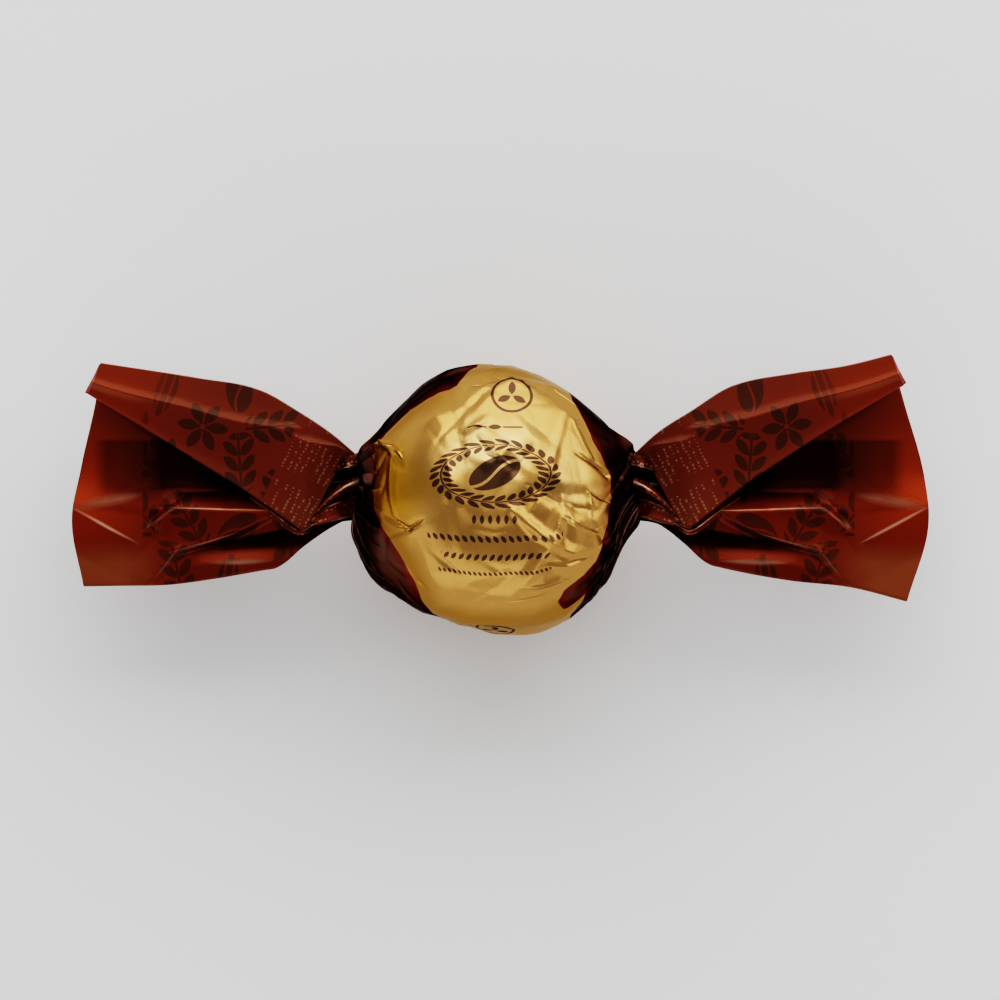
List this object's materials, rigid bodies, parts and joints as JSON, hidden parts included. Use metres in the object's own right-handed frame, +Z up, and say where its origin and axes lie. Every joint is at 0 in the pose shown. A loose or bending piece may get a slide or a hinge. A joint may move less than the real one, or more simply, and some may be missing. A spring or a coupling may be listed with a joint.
{
  "type": "wrapped chocolate truffle",
  "caption": "Round chocolate truffle shut in printed twist-wrap film, with a pleated twisted neck and a flat fanned wing with a folded-over flap at each end.",
  "frame": {"origin": "middle of the footprint, on the surface the underside of the ball rests on", "axes": "+X from the left wing to the right wing, +Y towards the top of the label, +Z up, the way the label faces"},
  "size_m": [0.1156, 0.0382, 0.0362],
  "materials": {
    "printed_film": "satin metallised film, gold on the ball, printed dark brown towards the necks and red-brown on the wings"
  },
  "bodies": {
    "root": {"wrapped_truffle": "printed_film"}
  },
  "joints": []
}
